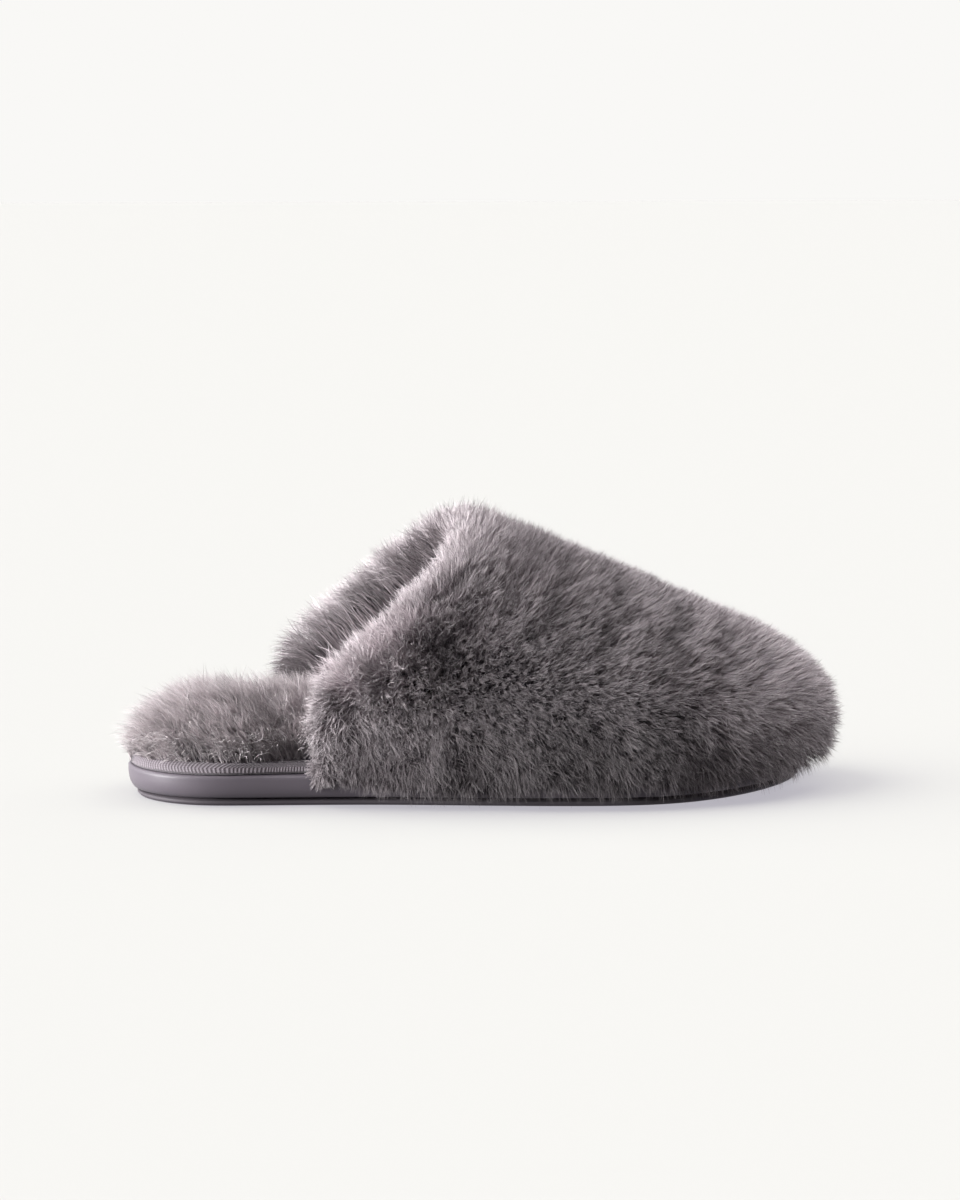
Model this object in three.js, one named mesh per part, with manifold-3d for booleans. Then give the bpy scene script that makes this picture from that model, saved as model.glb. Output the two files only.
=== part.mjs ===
// A right-foot scuff slipper in long faux fur: a thin rubber outsole, a moulded midsole, a cloth-wrapped
// footbed, a deep-pile insole, a hollow vamp shell and the fur coat that covers it.
// Millimetres. +X runs from heel to toe, +Y to the inner side of the foot, +Z up.
// The origin is on the floor, under the middle of the sole.

import * as THREE from "three";
import { mergeVertices } from "three/addons/utils/BufferGeometryUtils.js";
import Module from "manifold-3d";

const wasm = await Module();
wasm.setup();

// Driving dimensions
const SOLE_LENGTH = 260;
const BALL_WIDTH = 96;
const HEEL_WIDTH = 70;
const TOE_ROUND = 68; // length of the rounded front of the sole's outline
const TOE_POWER = 2.15; // how full that front is: 2 is an ellipse
const TOE_SPRING = 4; // rise of the sole's tip above the floor
const SPRING_START = 0.74; // share of the length where it starts
const OUTSOLE_THICKNESS = 1.8;
const MIDSOLE_HEIGHT = 9.6;
const FOOTBED_THICKNESS = 5;
const SEAM_GAP = 0.3; // between any two pieces that meet
const UPPER_WALL = 3; // backing cloth, foam and lining of the vamp
const INSTEP_RISE = 80; // vamp ridge at the throat, above the top of the sole
const BELT_RISE = 8; // the vamp's side stands upright to here
const VAMP_NOSE = 24; // length of the vamp's rounded nose, seen from the side
const PILE = 14; // combed pile on the vamp
const SIDE_PILE = 11;
const COLLAR_PILE = 13; // pile that stands out past the collar's edge
const FACING_PILE = 3.5; // shorter pile turned in at the collar
const FACING_DEPTH = 24; // how far the facing reaches in from the edge
const FUR_BELT = 26; // height above the floor at which the fur coat is widest
const FUR_HEM = 3.4; // lowest fur above the floor
const HEM_START = 0.285; // share of the length where the fur starts to hang over the sole's side
const FUR_NOSE = 23; // length of the fur's rounded nose
const HEEL_PILE = 24; // insole fur above the footbed at the heel
const HEEL_OVERHANG = 4; // insole fur past the footbed's edge at the heel
const MEDIAL_SET_BACK = 5; // the collar reaches further back on the inner side
const SOLE_EDGE_ROUND = 5.5;
const GROOVE_WIDTH = 2.2;
const GROOVE_DEPTH = 0.9;
const GROOVE_PITCH = 11;
const GROOVE_SHARE = 0.72; // a groove's length as a share of the sole's width
const LOCK_DEPTH = 3.2; // how far the locks stand out of the fur's body
const LOCK_LEAN = 2.6; // how far their tips lean along the nap
const PAD_LOCK_DEPTH = 1.9; // the same on the insole fur
const EDGE_LOCK_RADIUS = 5;
const HEEL_LOCK_LENGTH = 10.4;
const COLLAR_LOCKS = 20;
const HEM_LOCKS = 40;
const HEEL_LOCKS = 18;
const ROLL_DEPTH = 9; // half the collar roll's size from front to back
const COLLAR_FULLNESS = 1.25; // pile over the collar roll as a share of the combed pile
const ELLIPSE = 2; // a superellipse's power
const UNDER_POWER = 5; // how square the fur's underside is

// Numbers of facets
const STATIONS = 24; // along each side of the sole's outline
const VAMP_SECTIONS = 22;
const VAMP_GIRTH = 18;
const FUR_SECTIONS = 28;
const FUR_GIRTH_TOP = 20;
const FUR_GIRTH_UNDER = 8;
const ROLL_STEPS = 32;
const ROLL_SIDES = 10;
const COLLAR_BENDS = 12;
const LOCK_SIDES = 5;

// How the sections of a loft are spread
const TIP_STEP = 0.6; // the last one stops this share of a step short of the tip
const VAMP_BUNCHING = 0.3; // how much closer they stand towards the tip
const FUR_BUNCHING = 0.2;

// Precision
const WELD = 1e-4;
const HALVINGS = 24;

// Levels above the floor
const MIDSOLE_BASE = OUTSOLE_THICKNESS + SEAM_GAP;
const MIDSOLE_TOP = MIDSOLE_BASE + MIDSOLE_HEIGHT;
const UPPER_BASE = MIDSOLE_TOP + SEAM_GAP;
const FOOTBED_TOP = UPPER_BASE + FOOTBED_THICKNESS;
const PAD_BASE = FOOTBED_TOP + SEAM_GAP;
const BELOW_ALL = -SOLE_LENGTH / 10;

// The sole's half width at shares of its length, as shares of half the heel's and half the ball's width,
// and the swing of its middle line as a share of the ball width, positive to the inner side.
const SOLE_PLAN = [
  { at: 0.0, heel: 0.99, ball: 0.0, swing: 0.0 },
  { at: 0.15, heel: 1.0, ball: 0.0, swing: -0.005 },
  { at: 0.35, heel: 0.84, ball: 0.13, swing: -0.025 },
  { at: 0.5, heel: 0.46, ball: 0.5, swing: -0.035 },
  { at: 0.68, heel: 0.0, ball: 0.985, swing: -0.012 },
  { at: 0.78, heel: 0.0, ball: 1.0, swing: 0.012 },
  { at: 0.9, heel: 0.0, ball: 0.97, swing: 0.045 },
  { at: 1.0, heel: 0.0, ball: 0.93, swing: 0.07 },
];

// The vamp's ridge: its rise as a share of the instep rise, the pile over it as a share of the combed pile,
// how round its sections are, as a superellipse's power, and how far it leans to the inner side of the
// foot, as a share of the half width.
const RIDGE = [
  { at: 0.2, rise: 1.08, pile: 1.3, power: 2.0, lean: 0.06 },
  { at: 0.36, rise: 1.05, pile: 1.3, power: 2.0, lean: 0.08 },
  { at: 0.5, rise: 0.985, pile: 1.25, power: 2.0, lean: 0.12 },
  { at: 0.6, rise: 0.91, pile: 1.15, power: 2.05, lean: 0.15 },
  { at: 0.7, rise: 0.79, pile: 1.0, power: 2.1, lean: 0.17 },
  { at: 0.8, rise: 0.635, pile: 0.9, power: 2.15, lean: 0.18 },
  { at: 0.9, rise: 0.465, pile: 0.82, power: 2.2, lean: 0.18 },
  { at: 1.0, rise: 0.31, pile: 0.8, power: 2.2, lean: 0.16 },
  { at: 1.08, rise: 0.24, pile: 0.8, power: 2.2, lean: 0.14 },
];

// The cloth edge of the collar seen from the side, from the sole up to the throat.
const COLLAR = [
  { at: 0.262, up: -0.2 },
  { at: 0.264, up: 0.0 },
  { at: 0.278, up: 0.22 },
  { at: 0.32, up: 0.39 },
  { at: 0.39, up: 0.57 },
  { at: 0.465, up: 0.79 },
  { at: 0.515, up: 0.98 },
  { at: 0.55, up: 1.16 },
];

// The midsole's side from its lower edge up: its inset as a share of the rounded edge, and its height as a
// share of the midsole's.
const MIDSOLE_SIDE = [
  { inset: 0.62, up: 0 },
  { inset: 0.2, up: 0.18 },
  { inset: 0, up: 0.55 },
  { inset: 0, up: 0.94 },
  { inset: 0.12, up: 1 },
];

// The footbed's side, both as shares of its thickness.
const FOOTBED_SIDE = [
  { inset: 0.17, up: 0 },
  { inset: 0, up: 0.17 },
  { inset: 0.12, up: 0.5 },
  { inset: 0.5, up: 0.83 },
  { inset: 1, up: 1 },
];

// The two fields of cross grooves in the tread, between shares of the length.
const TREAD = [
  { from: 0.1, to: 0.28 },
  { from: 0.52, to: 0.78 },
];

// The insole fur's height as a share of the heel pile, and how much of it hangs over the edge.
const PAD_LENGTHWISE = [
  { at: 0.0, height: 0.72, overhang: 1.0 },
  { at: 0.06, height: 0.94, overhang: 1.0 },
  { at: 0.13, height: 1.0, overhang: 1.0 },
  { at: 0.2, height: 0.98, overhang: 0.7 },
  { at: 0.27, height: 0.84, overhang: -0.2 },
  { at: 0.36, height: 0.5, overhang: -1.0 },
  { at: 0.5, height: 0.36, overhang: -1.0 },
  { at: 1.0, height: 0.28, overhang: -1.0 },
];

// The insole fur's side from the footbed up: its outset as a share of the overhang, a further inset in
// millimetres of the dome, and its height as a share of the pad's.
const PAD_SIDE = [
  { outset: 0.0, inset: 5, up: 0.0 },
  { outset: 1.0, inset: 0.6, up: 0.13 },
  { outset: 1.0, inset: 0.6, up: 0.36 },
  { outset: 0.8, inset: 4, up: 0.64 },
  { outset: 0.5, inset: 10.5, up: 0.88 },
  { outset: 0.0, inset: 20, up: 1.0 },
];

// A lock of fur from its root to its tip: its radius as a share of its greatest radius.
const LOCK_TAPER = [
  { at: -0.3, radius: 0 },
  { at: 0.15, radius: 1.0 },
  { at: 0.65, radius: 0.72 },
  { at: 1.0, radius: 0 },
];

// The collar's locks, used in turn: how much they lean away from the cloth, and their length.
const COLLAR_LOCK_KINDS = [
  { outwards: 0.35, length: 15.6 },
  { outwards: 1, length: 20.3 },
  { outwards: 0.35, length: 18.7 },
  { outwards: 1, length: 17.2 },
];
const COLLAR_LOCK_WAY = new THREE.Vector3(-1, 0, 0.5);

// The hem's locks, used in turn: how much they lean forwards and outwards as they hang, and their length.
const HEM_LOCK_KINDS = [
  { forwards: 0.15, outwards: 0.16, length: 8.1 },
  { forwards: 0.15, outwards: 0.16, length: 9.8 },
  { forwards: 0.15, outwards: 0.16, length: 9.8 },
];

// The heel's two rows of locks: how much they rise as they point outwards, and where they are rooted, as a
// share of the heel pile. They fan out between two shares of a half turn.
const HEEL_LOCK_ROWS = [
  { rise: 0.05, up: 0.26 },
  { rise: 0.35, up: 0.44 },
];
const HEEL_FAN = { from: 0.42, to: 1.58 };

// A smooth curve through one column of a table, read at a share of the length.
function column(rows, name) {
  const slope = (i) => {
    const low = rows[Math.max(0, i - 1)];
    const high = rows[Math.min(rows.length - 1, i + 1)];
    return (high[name] - low[name]) / (high.at - low.at);
  };
  return (at) => {
    if (at <= rows[0].at) return rows[0][name];
    if (at >= rows[rows.length - 1].at) return rows[rows.length - 1][name];
    const i = rows.findIndex((row) => row.at > at) - 1;
    const span = rows[i + 1].at - rows[i].at;
    const t = (at - rows[i].at) / span;
    const h00 = 2 * t ** 3 - 3 * t ** 2 + 1;
    const h10 = t ** 3 - 2 * t ** 2 + t;
    const h01 = 1 - h00;
    const h11 = t ** 3 - t ** 2;
    return (
      h00 * rows[i][name] + h10 * span * slope(i) + h01 * rows[i + 1][name] + h11 * span * slope(i + 1)
    );
  };
}

const planHeel = column(SOLE_PLAN, "heel");
const planBall = column(SOLE_PLAN, "ball");
const planSwing = column(SOLE_PLAN, "swing");
const ridgeRise = column(RIDGE, "rise");
const ridgePile = column(RIDGE, "pile");
const ridgePower = column(RIDGE, "power");
const ridgeLean = column(RIDGE, "lean");
const padHeight = column(PAD_LENGTHWISE, "height");
const padOverhang = column(PAD_LENGTHWISE, "overhang");

const xAt = (share) => (share - 0.5) * SOLE_LENGTH;
const shareAt = (x) => x / SOLE_LENGTH + 0.5;
const middleLine = (x) => planSwing(Math.min(1, Math.max(0, shareAt(x)))) * BALL_WIDTH;
const plainHalfWidth = (x) => {
  const share = Math.min(1, Math.max(0, shareAt(x)));
  return (planHeel(share) * HEEL_WIDTH + planBall(share) * BALL_WIDTH) / 2;
};
const signedPower = (value, power) => Math.sign(value) * Math.abs(value) ** power;

// 1 before a rounded end starts, and 0 at its tip.
function rounding(x, start, tip, power) {
  const t = (x - start) / (tip - start);
  return t <= 0 ? 1 : Math.max(0, 1 - Math.min(1, t) ** power) ** (1 / power);
}

// How far the floor of the shoe is lifted at x by the toe spring.
function spring(x) {
  const lifted = Math.max(0, (shareAt(x) - SPRING_START) / (1 - SPRING_START));
  return TOE_SPRING * lifted ** 2;
}

// Builds a closed solid from vertices and faces, facing outwards.
function solidFrom(vertices, faces) {
  const geometry = new THREE.BufferGeometry();
  const places = vertices.flatMap((v) => [v.x, v.y, v.z]);
  geometry.setAttribute("position", new THREE.Float32BufferAttribute(places, 3));
  geometry.setIndex(faces.flat());
  return toSolid(geometry);
}

function toSolid(geometry) {
  const bare = geometry.clone();
  bare.deleteAttribute("normal");
  bare.deleteAttribute("uv");
  const merged = mergeVertices(bare, WELD);
  const triVerts = new Uint32Array(merged.index.array);
  const vertProperties = new Float32Array(merged.attributes.position.array);
  let solid = new wasm.Manifold(new wasm.Mesh({ numProp: 3, vertProperties, triVerts }));
  if (solid.volume() < 0) {
    for (let i = 0; i < triVerts.length; i += 3) {
      [triVerts[i + 1], triVerts[i + 2]] = [triVerts[i + 2], triVerts[i + 1]];
    }
    solid = new wasm.Manifold(new wasm.Mesh({ numProp: 3, vertProperties, triVerts }));
  }
  return solid;
}

function toMesh(name, solid, material) {
  const made = solid.getMesh();
  const geometry = new THREE.BufferGeometry();
  const points = new Float32Array((made.vertProperties.length / made.numProp) * 3);
  for (let i = 0; i < points.length / 3; i++) {
    for (let k = 0; k < 3; k++) {
      points[3 * i + k] = made.vertProperties[i * made.numProp + k];
    }
  }
  geometry.setAttribute("position", new THREE.BufferAttribute(points, 3));
  geometry.setIndex(new THREE.BufferAttribute(new Uint32Array(made.triVerts), 1));
  geometry.computeVertexNormals();
  const mesh = new THREE.Mesh(geometry, material);
  mesh.name = name;
  return mesh;
}

// The largest of a solid's bodies, without the crumbs that a cut can leave.
function mainBody(solid) {
  return solid.decompose().reduce((best, body) => (body.volume() > best.volume() ? body : best));
}

// A box between two corners.
function block(low, high) {
  const size = new THREE.Vector3().subVectors(high, low);
  const geometry = new THREE.BoxGeometry(size.x, size.y, size.z);
  geometry.translate((low.x + high.x) / 2, (low.y + high.y) / 2, (low.z + high.z) / 2);
  return toSolid(geometry);
}

// The sole's outline as a ring of plan points: up the outer side from the heel, and back down the inner.
function planRing() {
  const heelRound = HEEL_WIDTH / 2;
  const side = (i, sign) => {
    const x = xAt((1 - Math.cos((Math.PI * i) / STATIONS)) / 2);
    const heelEnd = rounding(-x, SOLE_LENGTH / 2 - heelRound, SOLE_LENGTH / 2, ELLIPSE);
    const toeEnd = rounding(x, SOLE_LENGTH / 2 - TOE_ROUND, SOLE_LENGTH / 2, TOE_POWER);
    return new THREE.Vector2(x, middleLine(x) + sign * plainHalfWidth(x) * heelEnd * toeEnd);
  };
  const ring = [];
  for (let i = 0; i <= STATIONS; i++) ring.push(side(i, -1));
  for (let i = STATIONS - 1; i > 0; i--) ring.push(side(i, 1));
  return ring;
}

const SOLE_RING = planRing();

// The outline moved outwards by an amount that may vary along the shoe.
function movedRing(outset) {
  return SOLE_RING.map((point, i) => {
    const before = SOLE_RING[(i + SOLE_RING.length - 1) % SOLE_RING.length];
    const after = SOLE_RING[(i + 1) % SOLE_RING.length];
    const along = new THREE.Vector2().subVectors(after, before).normalize();
    const amount = outset(point.x);
    return new THREE.Vector2(point.x + along.y * amount, point.y - along.x * amount);
  });
}

// The facets between neighbouring rings. Where every other point is a lock's tip, they are split between the
// low points, so that each tip stands by itself.
function bands(rings, count, locked) {
  const faces = [];
  for (let k = 0; k + 1 < rings; k++) {
    for (let i = 0; i < count; i++) {
      const a = k * count + i;
      const b = k * count + ((i + 1) % count);
      if (locked && (k + i) % 2 === 0) {
        faces.push([a, b, a + count], [b, b + count, a + count]);
      } else {
        faces.push([a, b, b + count], [a, b + count, a + count]);
      }
    }
  }
  return faces;
}

// A slab with the sole's outline: a ring for each level, from the lowest, closed across at both ends.
function slab(levels, locked = false) {
  const vertices = [];
  const count = SOLE_RING.length;
  levels.forEach((level) => {
    movedRing(level.outset).forEach((point, i) => {
      vertices.push(new THREE.Vector3(point.x, point.y, level.height(point.x, i) + spring(point.x)));
    });
  });
  const faces = bands(levels.length, count, locked);
  const top = (levels.length - 1) * count;
  const across = (i) => (count - i) % count;
  for (let i = 0; i < STATIONS; i++) {
    const corners = [i, i + 1, across(i + 1), across(i)];
    const under = [
      [corners[0], corners[2], corners[1]],
      [corners[0], corners[3], corners[2]],
    ];
    const over = [
      [corners[0], corners[1], corners[2]],
      [corners[0], corners[2], corners[3]],
    ];
    faces.push(...under.filter((face) => new Set(face).size === 3));
    faces.push(...over.filter((face) => new Set(face).size === 3).map((face) => face.map((v) => v + top)));
  }
  return solidFrom(vertices, faces);
}

// A loft through rings of equal length, closed by a fan at each end.
function loft(rings, locked = false) {
  const vertices = rings.flat();
  const count = rings[0].length;
  const faces = bands(rings.length, count, locked);
  const close = (ring, first, turned) => {
    const centre = ring.reduce((sum, p) => sum.add(p), new THREE.Vector3()).divideScalar(count);
    vertices.push(centre);
    for (let i = 0; i < count; i++) {
      const pair = [first + i, first + ((i + 1) % count)];
      faces.push(turned ? [pair[1], pair[0], vertices.length - 1] : [...pair, vertices.length - 1]);
    }
  };
  close(rings[0], 0, true);
  close(rings[rings.length - 1], (rings.length - 1) * count, false);
  return solidFrom(vertices, faces);
}

// Sections bunched towards the tip, where the form rounds off fastest.
function sectionPlaces(from, tip, count, bunching) {
  return Array.from({ length: count }, (_, i) => {
    const t = i / (count - 1 + TIP_STEP);
    return from + (tip - from) * (t + bunching * Math.sin(Math.PI * t));
  });
}

const TOE = SOLE_LENGTH / 2;
const VAMP_BACK = xAt(COLLAR[0].at) - 2 * COLLAR_PILE;

// A point of the vamp's cloth, grown outwards (or shrunk) by a margin. The turn goes from the outer side, 0,
// over the ridge to the inner side, PI.
function vampPoint(x, turn, margin) {
  const tip = TOE + margin;
  const share = shareAt(x);
  const half = (plainHalfWidth(x) + margin) * rounding(x, TOE - TOE_ROUND, tip, TOE_POWER);
  const crown = ridgeRise(share) * INSTEP_RISE - BELT_RISE + margin;
  const rise = crown * rounding(x, TOE - VAMP_NOSE, tip, ELLIPSE);
  const up = Math.sin(turn) ** (2 / ridgePower(share));
  const across = -signedPower(Math.cos(turn), 2 / ridgePower(share)) + ridgeLean(share) * up ** 2;
  return new THREE.Vector3(x, middleLine(x) + half * across, UPPER_BASE + BELT_RISE + spring(x) + rise * up);
}

// The vamp's form, grown outwards (or shrunk) by a margin, standing on a foot line.
function vampForm(margin, footLine) {
  const rings = sectionPlaces(VAMP_BACK, TOE + margin, VAMP_SECTIONS, VAMP_BUNCHING).map((x) => {
    const ring = [];
    for (let i = 0; i <= VAMP_GIRTH; i++) ring.push(vampPoint(x, (Math.PI * i) / VAMP_GIRTH, margin));
    const foot = footLine + spring(x);
    ring.push(new THREE.Vector3(x, ring[VAMP_GIRTH].y, foot), new THREE.Vector3(x, ring[0].y, foot));
    return ring;
  });
  return loft(rings);
}

// The collar's line in the side view, moved back from the cloth edge by a margin.
function collarLine(margin) {
  const line = COLLAR.map((row) => new THREE.Vector2(xAt(row.at), UPPER_BASE + row.up * INSTEP_RISE));
  return line.map((point, i) => {
    const before = line[Math.max(0, i - 1)];
    const after = line[Math.min(line.length - 1, i + 1)];
    const along = new THREE.Vector2().subVectors(after, before).normalize();
    return new THREE.Vector2(point.x - along.y * margin, point.y + along.x * margin);
  });
}

// Everything behind a collar line, as a block across the shoe that leans back towards the inner side.
function behindCollar(line) {
  const reach = 2 * SOLE_LENGTH;
  const across = 2 * BALL_WIDTH;
  const lowest = line[0];
  const highest = line[line.length - 1];
  const outline = new THREE.Shape([
    new THREE.Vector2(lowest.x, lowest.y - reach),
    ...line,
    new THREE.Vector2(highest.x + reach, highest.y + reach),
    new THREE.Vector2(-reach, highest.y + reach),
    new THREE.Vector2(-reach, lowest.y - reach),
  ]);
  const geometry = new THREE.ExtrudeGeometry(outline, { depth: 2 * across, bevelEnabled: false, steps: 1 });
  geometry.translate(0, 0, -across);
  const lean = (-2 * MEDIAL_SET_BACK) / BALL_WIDTH;
  geometry.applyMatrix4(new THREE.Matrix4().set(1, 0, -lean, 0, 0, 0, -1, 0, 0, 1, 0, 0, 0, 0, 0, 1));
  return toSolid(geometry);
}

// The hollow vamp: open at the collar and underneath.
function upperSolid() {
  const outside = vampForm(0, UPPER_BASE);
  const inside = vampForm(-UPPER_WALL, UPPER_BASE - 2 * BELT_RISE);
  return mainBody(outside.subtract(inside).subtract(behindCollar(collarLine(0))));
}

// One point of the fur coat's skin, with every other point drawn out and along the nap as a lock.
function furPoint(x, turn, section, index, margin) {
  const tip = TOE + SIDE_PILE;
  const share = shareAt(x);
  const under = Math.sin(turn) < 0;
  const middle = middleLine(x);
  const half = (plainHalfWidth(x) + SIDE_PILE) * rounding(x, TOE - TOE_ROUND, tip, TOE_POWER);
  const crown = UPPER_BASE + ridgeRise(share) * INSTEP_RISE + ridgePile(share) * PILE - FUR_BELT;
  const drop = FUR_BELT - FUR_HEM;
  const rise = (under ? drop : crown) * rounding(x, tip - FUR_NOSE, tip, ELLIPSE);
  const power = 2 / (under ? UNDER_POWER : ridgePower(share));
  const up = signedPower(Math.sin(turn), power);
  const lean = under ? 0 : ridgeLean(share) * up ** 2;
  const point = new THREE.Vector3(
    x,
    middle + half * (lean - signedPower(Math.cos(turn), power)),
    FUR_BELT + spring(x) + rise * up,
  );
  const outwards = new THREE.Vector3(0, point.y - middle, point.z - FUR_BELT).normalize();
  if ((section + index) % 2) {
    point.addScaledVector(outwards, -LOCK_DEPTH);
  } else {
    point.x += LOCK_LEAN;
  }
  return point.addScaledVector(outwards, margin);
}

function furSkin(margin) {
  const tip = TOE + SIDE_PILE;
  const turns = [];
  for (let i = 0; i < FUR_GIRTH_TOP; i++) turns.push((Math.PI * i) / FUR_GIRTH_TOP);
  for (let i = 0; i < FUR_GIRTH_UNDER; i++) turns.push(Math.PI * (1 + i / FUR_GIRTH_UNDER));
  const places = sectionPlaces(VAMP_BACK, tip - LOCK_LEAN, FUR_SECTIONS, FUR_BUNCHING);
  return loft(places.map((x, k) => turns.map((turn, i) => furPoint(x, turn, k, i, margin))), true);
}

// A tapered lock of fur from a root towards a direction, drooping at its end.
function lock(root, direction, length, radius, droop) {
  const profile = LOCK_TAPER.map((row) => new THREE.Vector2(radius * row.radius, length * row.at));
  const geometry = new THREE.LatheGeometry(profile, LOCK_SIDES);
  geometry.applyQuaternion(new THREE.Quaternion().setFromUnitVectors(new THREE.Vector3(0, 1, 0), direction));
  geometry.translate(root.x, root.y, root.z);
  const position = geometry.getAttribute("position");
  for (let i = 0; i < position.count; i++) {
    const point = new THREE.Vector3().fromBufferAttribute(position, i);
    const out = Math.max(0, point.clone().sub(root).dot(direction)) / length;
    position.setZ(i, point.z - droop * out ** 2);
  }
  return toSolid(geometry);
}

// Where a collar line crosses the vamp at a turn, outside the cloth by a margin.
function collarPoint(line, turn, margin) {
  const path = new THREE.Path(line);
  let low = 0;
  let high = 1;
  for (let n = 0; n < HALVINGS; n++) {
    const share = (low + high) / 2;
    const at = path.getPointAt(share);
    if (at.y < vampPoint(at.x, turn, margin).z) {
      low = share;
    } else {
      high = share;
    }
  }
  const point = vampPoint(path.getPointAt(low).x, turn, margin);
  point.x -= (2 * MEDIAL_SET_BACK * point.y) / BALL_WIDTH;
  return point;
}

// The collar's edge as a curve in space, from the sole on the outer side over the ridge to the inner side.
function collarEdge() {
  const line = collarLine(COLLAR_PILE - ROLL_DEPTH);
  const points = [];
  const margin = (SIDE_PILE - UPPER_WALL - FACING_PILE) / 2;
  for (let i = 0; i <= COLLAR_BENDS; i++) {
    points.push(collarPoint(line, (Math.PI * i) / COLLAR_BENDS, margin));
  }
  const foot = (point) => new THREE.Vector3(point.x, point.y, UPPER_BASE);
  return new THREE.CatmullRomCurve3([foot(points[0]), ...points, foot(points[COLLAR_BENDS])]);
}

const edgeOutwards = (at) => new THREE.Vector3(0, at.y, Math.max(0, at.z - FUR_BELT)).normalize();
const edgePile = (at) => SIDE_PILE + (COLLAR_FULLNESS * PILE - SIDE_PILE) * edgeOutwards(at).z;

// The plush roll along the collar's edge.
function collarRoll(margin) {
  const edge = collarEdge();
  const rings = [];
  for (let k = 0; k <= ROLL_STEPS; k++) {
    const at = edge.getPointAt(k / ROLL_STEPS);
    const along = edge.getTangentAt(k / ROLL_STEPS);
    const outwards = edgeOutwards(at);
    const back = new THREE.Vector3().crossVectors(along, outwards).normalize();
    outwards.crossVectors(back, along).normalize();
    const wall = (edgePile(at) + UPPER_WALL + FACING_PILE) / 2;
    const centre = at.clone().addScaledVector(outwards, (edgePile(at) - SIDE_PILE) / 2);
    const ring = [];
    for (let i = 0; i < ROLL_SIDES; i++) {
      const turn = (2 * Math.PI * i) / ROLL_SIDES;
      const tuft = (k + i) % 2 ? -LOCK_DEPTH / 2 : LOCK_DEPTH / 2;
      const point = centre.clone().addScaledVector(outwards, (wall + tuft + margin) * Math.cos(turn));
      ring.push(point.addScaledVector(back, -(ROLL_DEPTH + tuft + margin) * Math.sin(turn)));
    }
    rings.push(ring);
  }
  return loft(rings, true);
}

// Locks that stand out of the collar's roll, leaning back, up and to the side.
function collarLocks(margin) {
  const edge = collarEdge();
  const made = [];
  for (let i = 1; i < COLLAR_LOCKS; i++) {
    const at = edge.getPointAt(i / COLLAR_LOCKS);
    const kind = COLLAR_LOCK_KINDS[i % COLLAR_LOCK_KINDS.length];
    const direction = edgeOutwards(at).multiplyScalar(kind.outwards).add(COLLAR_LOCK_WAY).normalize();
    made.push(lock(at, direction, kind.length + 2 * margin, EDGE_LOCK_RADIUS + margin, 1));
  }
  return made;
}

// Locks that hang from the hem over the side of the sole, all round the vamp.
function hemLocks() {
  const ring = movedRing(() => SIDE_PILE / 2).filter((point) => point.x > xAt(HEM_START));
  return new THREE.Path(ring).getSpacedPoints(HEM_LOCKS - 1).map((point, i) => {
    const kind = HEM_LOCK_KINDS[i % HEM_LOCK_KINDS.length];
    const direction = new THREE.Vector3(kind.forwards, Math.sign(point.y) * kind.outwards, -1).normalize();
    const root = new THREE.Vector3(point.x, point.y, UPPER_BASE + spring(point.x) + (i % 2) * LOCK_DEPTH);
    return lock(root, direction, kind.length, EDGE_LOCK_RADIUS, 0);
  });
}

// The space inside the lining, to its full length, where the foot goes.
const footSpace = (extra) => vampForm(-UPPER_WALL - FACING_PILE - extra, -BELT_RISE);

// The fur's mass down to the collar's edge, grown by a margin.
function furMass(margin) {
  const skin = furSkin(margin).subtract(behindCollar(collarLine(COLLAR_PILE - ROLL_DEPTH + margin)));
  return [collarRoll(margin), ...collarLocks(margin)].reduce((all, one) => all.add(one), skin);
}

// The fur coat: over the vamp, past the collar's edge and turned in along it, and down over the sole's side.
function furCoat() {
  const soleSpace = slab([
    { outset: () => 2 * SEAM_GAP, height: () => BELOW_ALL },
    { outset: () => 2 * SEAM_GAP, height: () => UPPER_BASE },
  ]);
  const bedSpace = slab([
    { outset: (x) => footbedOutset(x) + SEAM_GAP, height: () => BELOW_ALL },
    { outset: (x) => footbedOutset(x) + SEAM_GAP, height: () => PAD_BASE },
  ]);
  const shell = vampForm(SEAM_GAP, UPPER_BASE - SEAM_GAP)
    .subtract(vampForm(-UPPER_WALL - SEAM_GAP, UPPER_BASE - BELT_RISE))
    .subtract(behindCollar(collarLine(SEAM_GAP)));
  const belowFacing = vampForm(SEAM_GAP, -BELT_RISE).subtract(behindCollar(collarLine(-FACING_DEPTH)));
  const furred = hemLocks().reduce((all, one) => all.add(one), furMass(0));
  const floor = block(
    new THREE.Vector3(-SOLE_LENGTH, -BALL_WIDTH, -SOLE_LENGTH),
    new THREE.Vector3(SOLE_LENGTH, BALL_WIDTH, FUR_HEM - LOCK_DEPTH / 2),
  );
  const besideHeel = block(
    new THREE.Vector3(-SOLE_LENGTH, -BALL_WIDTH, -SOLE_LENGTH),
    new THREE.Vector3(xAt(HEM_START), BALL_WIDTH, UPPER_BASE),
  );
  const hollows = [footSpace(0), belowFacing, shell, soleSpace, bedSpace, floor, besideHeel];
  return mainBody(hollows.reduce((left, hollow) => left.subtract(hollow), furred));
}

// Pulls the footbed's edge in under the vamp, where the shell's foot stands on the midsole beside it.
function footbedOutset(x) {
  const start = xAt(COLLAR[0].at) - COLLAR_PILE;
  const under = Math.min(1, Math.max(0, (x - start + BELT_RISE) / BELT_RISE));
  const atHeel = 2 * SEAM_GAP;
  return -atHeel - under * (UPPER_WALL + 2 * SEAM_GAP - atHeel);
}

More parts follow.
